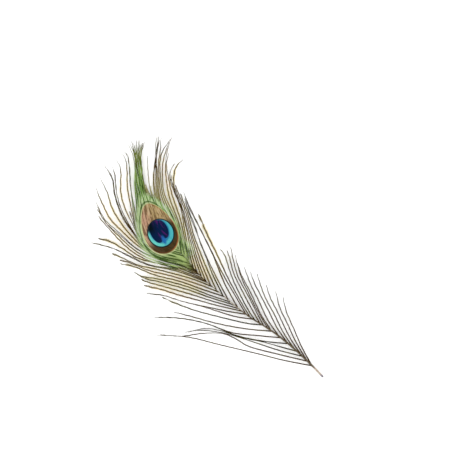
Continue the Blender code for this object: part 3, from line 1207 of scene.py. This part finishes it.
@dataclass(frozen=True)
class LooseColours:
    """Barbs outside the eye: olive or bronze, with a painted highlight of pale straw where their barbules
    end.
    """

    olive: Paint = Paint(52, 50, 10)
    bronze: Coat = Coat(Paint(86, 56, 16), (0.38, 0.52))
    khaki: Coat = Coat(KHAKI, (0.5, 0.62), 0.7)
    tip: Coat = Coat(Paint(74, 66, 34), (0.6, 1.0), 0.5)
    straw_highlight: Paint = Paint(250, 240, 186)
    tan_highlight: Coat = Coat(Paint(250, 230, 190), (0.4, 0.6))
    own_pitch: float = 1.37  # how far apart neighbouring barbs are in the noise that tells them apart
    own_place: Span = (7.0, 3.0)
    near: Span = (50.0, 105.0)  # how far from the eye the near barbs end
    upward: Span = (0.0, 60.0)  # where, up the eye's axis, they come to end farther out
    farther: float = 35.0
    near_highlight: Span = (0.38, 0.6)  # how far out on its barbules a near barb's painted highlight begins and is full
    far_highlight: Span = (0.7, 1.0)
    far_highlight_strength: float = 0.4
    dull_tip: Span = (0.82, 1.0)  # where along a barb its painted highlight grows dull
    dullness: float = 0.8
    rib: Span = (0.0, 0.25)  # how far out the midrib's shadow fades
    rib_shadow: float = 0.5

    def colour(self, at: Spot) -> Signal:
        """The colour of a loose barb.

        Args:
            at: The place on it.

        Returns:
            The colour.
        """
        own = at.graph.noise((at.lane * self.own_pitch, *self.own_place))
        colour = self.khaki.over(self.bronze.over(self.olive, own), at.streak)
        colour = self.tip.over(colour, at.share)
        away = EYE.away(at.along, at.across) - at.along.rise(*self.upward) * self.farther
        near = away.fall(*self.near)
        # Painted highlight: the outer parts of the barbules turn pale straw, as if lit, most strongly near
        # the eye.
        edge = at.web.rise(*self.near_highlight) * near
        edge = edge + at.web.rise(*self.far_highlight) * (1 - near) * self.far_highlight_strength
        edge = edge * (1 - at.share.rise(*self.dull_tip) * self.dullness)
        colour = at.graph.blend(edge, colour, self.tan_highlight.over(self.straw_highlight, own))
        return at.graph.shade(colour, 1 - at.web.fall(*self.rib) * self.rib_shadow)


@dataclass(frozen=True)
class PlumeColours:
    """The plume's green tuft, the pale crest beside it, and the pale barbs to the right of the eye."""

    crest: Stripe = Stripe((25.0, 32.0, 58.0, 76.0), 10.0, (2.5, 5.5), 0.85)
    beside: Stripe = Stripe((-24.0, -6.0, 40.0, 62.0), 19.0, (5.0, 10.0), 0.4)
    tuft: Stripe = Stripe((28.0, 38.0, 78.0, 92.0), -20.76, (4.5, 9.0), 0.9, 0.42)
    pale: Coat = Coat(PALE, (0.1, 0.5))
    leaf: Coat = Coat(LEAF, (0.36, 0.5))
    moss: Coat = Coat(MOSS, (0.5, 0.6))
    khaki: Coat = Coat(KHAKI, (58.0, 80.0), 0.5)
    rib_light: float = 1.1
    tip_highlight: float = 1.3  # how much brighter than that the painted highlight makes the barbules' tips
    lit: Span = (0.2, 0.9)

    def over(self, colour: Signal, at: Spot) -> Signal:
        """Lay the plume's colours.

        Args:
            colour: The colour so far.
            at: The place on the vanes.

        Returns:
            The colour with the plume's on it.
        """
        crested = self.pale.over(KHAKI, at.web)
        for stripe in (self.crest, self.beside):
            colour = at.graph.blend(stripe.mask(at), colour, crested)
        tufted = self.moss.over(self.leaf.over(LIME, at.streak), at.streak)
        tufted = self.khaki.over(tufted, at.along)
        # Painted highlight: the tuft's barbules grow brighter towards their tips.
        tufted = at.graph.shade(tufted, at.web.rise(*self.lit) * self.tip_highlight + self.rib_light)
        return at.graph.blend(self.tuft.mask(at), colour, tufted)


@dataclass(frozen=True)
class LeafColours:
    """The green round the egg, and the pale rim between the two."""

    edge: Span = (1.28, 1.58)  # how far out in the egg it begins to fade and ends
    flank: Patch = Patch((-24.0, -14.0, 0.0, 18.0), (5.0, 13.0), 0.24)  # where it ends sooner
    foot: Patch = Patch((-16.0, -34.0), (-12.0, -2.0), 0.25)  # where it ends farther out
    light: Paint = Paint(196, 216, 164)
    leaf: Coat = Coat(LEAF, (0.44, 0.52))
    dark: Coat = Coat(Paint(54, 80, 32), (0.54, 0.6))
    paler: Patch = Patch((-14.0, 0.0), (-5.0, -14.0), 0.07)  # where there is more of the light green
    lit: Coat = Coat(light, (0.35, 0.75), 0.6)
    shaded: Coat = Coat(MOSS, (-26.0, -42.0), 0.7)
    low: Span = (-30.0, -14.0)  # where on the eye's axis the green below the egg begins to fade and ends
    low_strength: float = 0.9
    low_fern: Coat = Coat(FERN, (0.42, 0.56))
    corner: Oval = Oval((-38.0, 9.5), (13.0, 7.0))
    corner_edge: Span = (0.4, 1.1)
    corner_strength: float = 0.55
    corner_fern: Coat = Coat(FERN, (0.4, 0.56))
    line: Band = (1.1, 1.14, 1.17, 1.22)  # how far out in the egg the dark line in the green runs
    line_lift: Span = (10.0, 28.0)  # where on the eye's axis it moves inwards
    line_shift: float = 0.08
    line_left: Span = (-10.0, 0.0)  # it shows on the left, and at the top
    line_top: Span = (18.0, 28.0)
    line_coat: Coat = Coat(MOSS, (0.0, 1.0), 0.75)
    rim: Band = (0.985, 1.0, 1.03, 1.07)
    rim_left: Span = (-9.0, -3.0)
    rim_strength: tuple = (0.45, 0.45, 0.1)  # everywhere, and what it gains on the left and below

    def over(self, colour: Signal, at: Spot) -> Signal:
        """Lay the green, its corner at the foot of the eye and its rim.

        Args:
            colour: The colour so far.
            at: The place on the vanes.

        Returns:
            The colour with the green on it.
        """
        graph, along, across, egg = at.graph, at.along, at.across, at.egg
        corner = self.corner.out(along, across).fall(*self.corner_edge) * self.corner_strength
        colour = graph.blend(corner, colour, self.corner_fern.over(LIME, at.streak))
        zone = egg + self.flank.mask(at) - self.foot.mask(at)
        low = along.fall(*self.low)
        colour = graph.blend(zone.fall(*self.edge), colour, self.leaves(at, low))
        everywhere, left, below = self.rim_strength
        strength = across.fall(*self.rim_left) * left + low * below + everywhere
        return graph.blend(egg.fade(*self.rim) * strength, colour, PALE)

    def leaves(self, at: Spot, low: Signal) -> Signal:
        """The green itself.

        Args:
            at: The place on the vanes.
            low: How much it is below the egg, from 0 to 1.

        Returns:
            The colour.
        """
        streak = at.streak - self.paler.mask(at)
        leaf = self.dark.over(self.leaf.over(self.light, streak), streak)
        leaf = self.shaded.over(self.lit.over(leaf, at.web), at.along)
        leaf = at.graph.blend(low * self.low_strength, leaf, self.low_fern.over(LIME, at.streak))
        out = at.egg + at.along.rise(*self.line_lift) * self.line_shift
        where = at.across.fall(*self.line_left) + at.along.rise(*self.line_top)
        return self.line_coat.over(leaf, out.fade(*self.line) * where)


@dataclass(frozen=True)
class EggColours:
    """The bronze egg: coppery on the left, golden on the right, dark below and on its right flank."""

    edge: Span = (0.985, 1.01)
    copper: Paint = Paint(202, 160, 132)
    gold: Coat = Coat(Paint(186, 160, 112), (-8.0, 2.0))
    sheen: Coat = Coat(Paint(218, 192, 156), (0.46, 0.38), 0.7)
    parting: Coat = Coat(Paint(104, 78, 48), (0.5, 0.56), 0.75)
    umber: Coat = Coat(UMBER, (0.0, 1.0), 0.92)
    dark_below: Span = (-15.0, 3.0)
    dark_flank: Patch = Patch((16.0, 0.0), (6.0, 13.0))
    rust: Paint = Paint(178, 104, 62)
    rust_edge: Span = (0.94, 0.97)
    rust_right: Span = (0.0, 8.0)
    rust_below: Span = (-6.0, 12.0)
    rust_strength: tuple = (0.05, 0.6, 0.2)  # everywhere, and what it gains on the right and below

    def over(self, colour: Signal, at: Spot) -> Signal:
        """Lay the egg.

        Args:
            colour: The colour so far.
            at: The place on the vanes.

        Returns:
            The colour with the egg on it.
        """
        bronze = self.sheen.over(self.gold.over(self.copper, at.across), at.streak)
        bronze = self.parting.over(bronze, at.streak)
        bronze = self.umber.over(bronze, at.along.fall(*self.dark_below) + self.dark_flank.mask(at))
        everywhere, right, below = self.rust_strength
        rusty = at.across.rise(*self.rust_right) * right + at.along.fall(*self.rust_below) * below
        rusty = at.egg.rise(*self.rust_edge) * (rusty + everywhere)
        bronze = at.graph.blend(rusty, bronze, self.rust)
        return at.graph.blend(at.egg.fall(*self.edge), colour, bronze)


@dataclass(frozen=True)
class PupilColours:
    """The blue ring, and the notched pupil in it."""

    ring: Oval = Oval((-0.9, 0.4), (13.7, 12.5))
    ring_edge: Span = (0.97, 1.01)
    ragged: float = 0.05
    rim: Paint = Paint(10, 38, 48)
    rim_edge: Span = (1.05, 1.11)
    water: Paint = Paint(112, 218, 206)
    blue: Coat = Coat(Paint(50, 172, 196), (-8.0, 6.0), 0.6)
    pool: Oval = Oval((1.6, 0.0), (12.4, 9.8))
    deep: Coat = Coat(Paint(24, 104, 170), (1.12, 0.92), 0.8)
    dark_corner: Patch = Patch((2.0, 7.0), (1.0, -6.0))
    lobes: tuple = (Oval((1.3, -3.6), (11.0, 5.5)), Oval((1.9, 3.6), (9.8, 5.3)),
                    Oval((4.5, 0.0), (8.4, 7.0)))
    lobe_edge: Span = (0.97, 1.03)
    violet: Paint = Paint(104, 24, 120)
    violet_streaks: Span = (0.49, 0.56)
    violet_across: Band = (-5.0, 0.0, 3.0, 8.0)
    violet_strength: float = 0.55
    black: Paint = Paint(4, 18, 24)
    black_corner: Patch = Patch((-2.0, 8.0), (1.0, -7.0))
    notch: Oval = Oval((-8.6, 0.3), (5.6, 2.1))
    notch_coat: Coat = Coat(Paint(38, 108, 184), (1.2, 0.5), 0.85)

    def over(self, colour: Signal, at: Spot) -> Signal:
        """Lay the ring and the pupil.

        Args:
            colour: The colour so far.
            at: The place on the vanes.

        Returns:
            The colour with both on it.
        """
        graph, along, across = at.graph, at.along, at.across
        ring = self.ring.out(along, across) + (at.streak - NOISE_MIDDLE) * self.ragged
        colour = graph.blend(ring.fade(*self.ring_edge, *self.rim_edge), colour, self.rim)
        water = self.deep.over(self.blue.over(self.water, across), self.pool.out(along, across))
        water = graph.blend(self.dark_corner.mask(at), water, self.rim)
        colour = graph.blend(ring.fall(*self.ring_edge), colour, water)
        left, right, cap = (lobe.out(along, across).rise(*self.lobe_edge) for lobe in self.lobes)
        violet = at.streak.rise(*self.violet_streaks) * across.fade(*self.violet_across)
        dark = graph.blend(violet * self.violet_strength, NAVY, self.violet)
        dark = graph.blend(self.black_corner.mask(at), dark, self.black)
        colour = graph.blend(1 - left * right * cap, colour, dark)
        return self.notch_coat.over(colour, self.notch.out(along, across))


@dataclass(frozen=True)
class VaneFinish:
    """Barbs and web: their loose colours, with the plume's and the eye's painted over them."""

    streak_pitch: Span = (0.55, 6.0)  # from barb to barb, and along a barb
    grain_pitch: Span = (1.6, 0.2)  # on each millimetre, and from barb to barb
    ragged: float = 0.05
    light: Span = (0.64, 0.34)  # the least, and what the grain adds
    eye: Span = (0.96, 1.2)  # how far out in the egg the eye's gloss begins to fade and ends
    roughness: float = 0.5
    eye_gloss: float = 0.1
    grain_gloss: float = 0.2
    metal: Span = (0.06, 0.22)  # everywhere, and what the eye adds
    specular: float = 0.03
    relief: float = 0.25

    def material(self) -> bpy.types.Material:
        """Mix the finish.

        Returns:
            The material.
        """
        graph = Graph("barb_finish")
        x, y, _ = graph.place()
        lane, share, web = (graph.attribute(name) for name in ("lane", "share", "web"))
        streak = graph.noise((lane * self.streak_pitch[0], share * self.streak_pitch[1], 0.0), detail=2.0)
        fine, from_lane = self.grain_pitch
        grain = graph.noise((x * fine, y * fine, lane * from_lane), detail=2.0)
        along, across = EYE.local(x, y)
        egg = EYE.egg(along, across) + (streak - NOISE_MIDDLE) * self.ragged
        at = Spot(graph, lane, share, web, streak, along, across, egg)
        colour = LooseColours().colour(at)
        for layer in (PlumeColours(), LeafColours(), EggColours(), PupilColours()):
            colour = layer.over(colour, at)
        eye = egg.fall(*self.eye)
        return graph.surface({
            "Base Color": graph.shade(colour, grain * self.light[1] + self.light[0]),
            "Roughness": (grain - NOISE_MIDDLE) * self.grain_gloss - eye * self.eye_gloss + self.roughness,
            "Metallic": eye * self.metal[1] + self.metal[0],
            "Specular IOR Level": self.specular,
        }, grain, self.relief)


@dataclass(frozen=True)
class ShaftFinish:
    """Horn: grey at the cut, pinkish on the quill, brown with dark streaks that are partly painted shade of
    the barbs over it, then cream, and the eye's colours at its end.
    """

    brown: Paint = Paint(96, 80, 52)
    cream: Paint = Paint(186, 174, 156)
    upward: tuple = (Coat(cream, (90.0, 118.0)), Coat(Paint(128, 114, 68), (132.0, 158.0)),
                     Coat(Paint(108, 126, 66), (158.0, 168.0)), Coat(UMBER, (184.0, 190.0)),
                     Coat(NAVY, (199.0, 203.0)))
    dark: Paint = Paint(60, 52, 30)
    dark_fibres: Span = (0.4, 0.65)
    dark_end: Span = (90.0, 118.0)
    pink: Paint = Paint(158, 136, 124)
    mottled: Coat = Coat(cream, (0.4, 0.6))
    quill_end: Span = (11.0, 15.0)
    grey: Coat = Coat(Paint(128, 120, 130), (5.0, 1.5))
    fibre_pitch: tuple = (5.0, 0.35, 5.0)
    mottle_pitch: tuple = (0.8, 0.5, 1.0)
    light: Span = (0.7, 0.25)  # the least, and what the fibres add
    roughness: float = 0.38
    mottle_gloss: float = 0.3
    specular: float = 0.5
    relief: float = 0.3

    def material(self) -> bpy.types.Material:
        """Mix the finish.

        Returns:
            The material.
        """
        graph = Graph("horn_finish")
        place = graph.place()
        _, y, _ = place
        fibre = graph.noise(tuple(part * pitch for part, pitch in zip(place, self.fibre_pitch)), detail=3.0)
        mottle = graph.noise(tuple(part * pitch for part, pitch in zip(place, self.mottle_pitch)), detail=2.0)
        colour = self.brown
        for coat in self.upward:
            colour = coat.over(colour, y)
        # Partly painted shade: dark streaks low on the shaft, where the barb roots cross it.
        colour = graph.blend(fibre.rise(*self.dark_fibres) * y.fall(*self.dark_end), colour, self.dark)
        colour = graph.blend(y.fall(*self.quill_end), colour, self.mottled.over(self.pink, mottle))
        return graph.surface({
            "Base Color": graph.shade(self.grey.over(colour, y), fibre * self.light[1] + self.light[0]),
            "Roughness": (mottle - NOISE_MIDDLE) * self.mottle_gloss + self.roughness,
            "Specular IOR Level": self.specular,
        }, fibre, self.relief)


@dataclass(frozen=True)
class FloorFinish:
    """Plain matt white paper."""

    white: Paint = Paint(252, 252, 251)
    roughness: float = 0.9
    tooth_pitch: float = 2.0
    tooth: float = 0.1  # how much the paper's tooth changes its roughness
    specular: float = 0.2

    def material(self) -> bpy.types.Material:
        """Mix the finish.

        Returns:
            The material.
        """
        graph = Graph("paper_finish")
        x, y, _ = graph.place()
        tooth = graph.noise((x * self.tooth_pitch, y * self.tooth_pitch, 0.0), detail=3.0)
        return graph.surface({
            "Base Color": self.white,
            "Roughness": (tooth - NOISE_MIDDLE) * self.tooth + self.roughness,
            "Specular IOR Level": self.specular,
        })


@dataclass
class Feather:
    """The whole feather: shaft, two vanes and the eye."""

    barb_maker: BarbMaker = field(default_factory=BarbMaker)
    web: EyeWeb = field(default_factory=EyeWeb)
    shaft: Shaft = field(default_factory=Shaft)
    left: Vane = field(default_factory=lambda: Vane(
        Side.LEFT, LEFT_GUIDES, LEFT_GROWTH, first_lane=0, plume_from=14))
    right: Vane = field(default_factory=lambda: Vane(
        Side.RIGHT, RIGHT_GUIDES, RIGHT_GROWTH, first_lane=500, plume_from=11))
    # The pieces that each vane is cut into, from the quill up, and the guide that each one ends before.
    left_cuts: tuple = (("left_base_barbs", 8), ("left_side_barbs", 14), ("left_eye_barbs", 20),
                        ("left_crown_barbs", math.inf))
    right_cuts: tuple = (("right_base_barbs", 6), ("right_side_barbs", 11), ("right_eye_barbs", math.inf))

    def make(self) -> None:
        """Build every piece of the feather."""
        chance = np.random.default_rng(SEED)
        material = VaneFinish().material()
        self.shaft.make(ShaftFinish().material())
        route = self.shaft.route()
        left, right = self.left.barbs(route, chance), self.right.barbs(route, chance)
        for barbs, cuts in ((left, self.left_cuts), (right, self.right_cuts)):
            start = 0
            for name, end in cuts:
                stock = MeshStock(name)
                self.barb_maker.make(stock, [b for b in barbs if start <= b.guide < end], chance)
                stock.build(material)
                start = end
        round_eye = [barb for barb in left + right[::-1] if barb.leaves_eye > 0]
        self.web.make(round_eye, chance, material)


@dataclass
class Studio:
    """The paper, the lights and the camera."""

    paper_size: float = 4.0
    paper_drop: float = 0.0001  # how far it lies below the feather
    camera_at: tuple[float, float, float] = (0.0544, 0.0270, 1.067)
    camera_turn: float = math.radians(-35.6)
    lens: float = 85.0
    sensor: float = 36.0
    sky: float = 1.35
    box_size: float = 1.4
    box_power: float = 5.0
    box_at: tuple[float, float, float] = (-0.5, 0.55, 1.1)

    def make(self) -> None:
        """Build the studio."""
        self.paper()
        self.camera()
        self.lights()
        bpy.context.scene.view_settings.view_transform = "Standard"

    def paper(self) -> None:
        """Lay the sheet of paper."""
        half = self.paper_size / 2
        mesh = bpy.data.meshes.new("paper")
        corners = [(-half, -half, 0), (half, -half, 0), (half, half, 0), (-half, half, 0)]
        mesh.from_pydata(corners, [], [(0, 1, 2, 3)])
        mesh.materials.append(FloorFinish().material())
        floor = put("paper", mesh)
        floor.location.z = -self.paper_drop

    def camera(self) -> None:
        """Look straight down on the feather."""
        data = bpy.data.cameras.new("camera")
        data.lens, data.sensor_width = self.lens, self.sensor
        camera = put("camera", data)
        camera.location = self.camera_at
        camera.rotation_euler = (0.0, 0.0, self.camera_turn)
        bpy.context.scene.camera = camera

    def lights(self) -> None:
        """Light the feather softly from all round, and a little more from one side."""
        world = bpy.data.worlds.new("studio")
        world.use_nodes = True
        background = world.node_tree.nodes["Background"]
        background.inputs["Color"].default_value = (1.0, 1.0, 1.0, 1.0)
        background.inputs["Strength"].default_value = self.sky
        bpy.context.scene.world = world
        data = bpy.data.lights.new("soft_box", "AREA")
        data.shape, data.size, data.energy = "SQUARE", self.box_size, self.box_power
        box = put("soft_box", data)
        box.location = self.box_at
        box.rotation_euler = (-Vector(self.box_at)).to_track_quat("-Z", "Y").to_euler()


def main() -> None:
    """Build the feather, then the studio round it."""
    logging.basicConfig(level=logging.INFO, format="%(name)s: %(message)s")
    Feather().make()
    Studio().make()


if __name__ == "__main__":
    main()
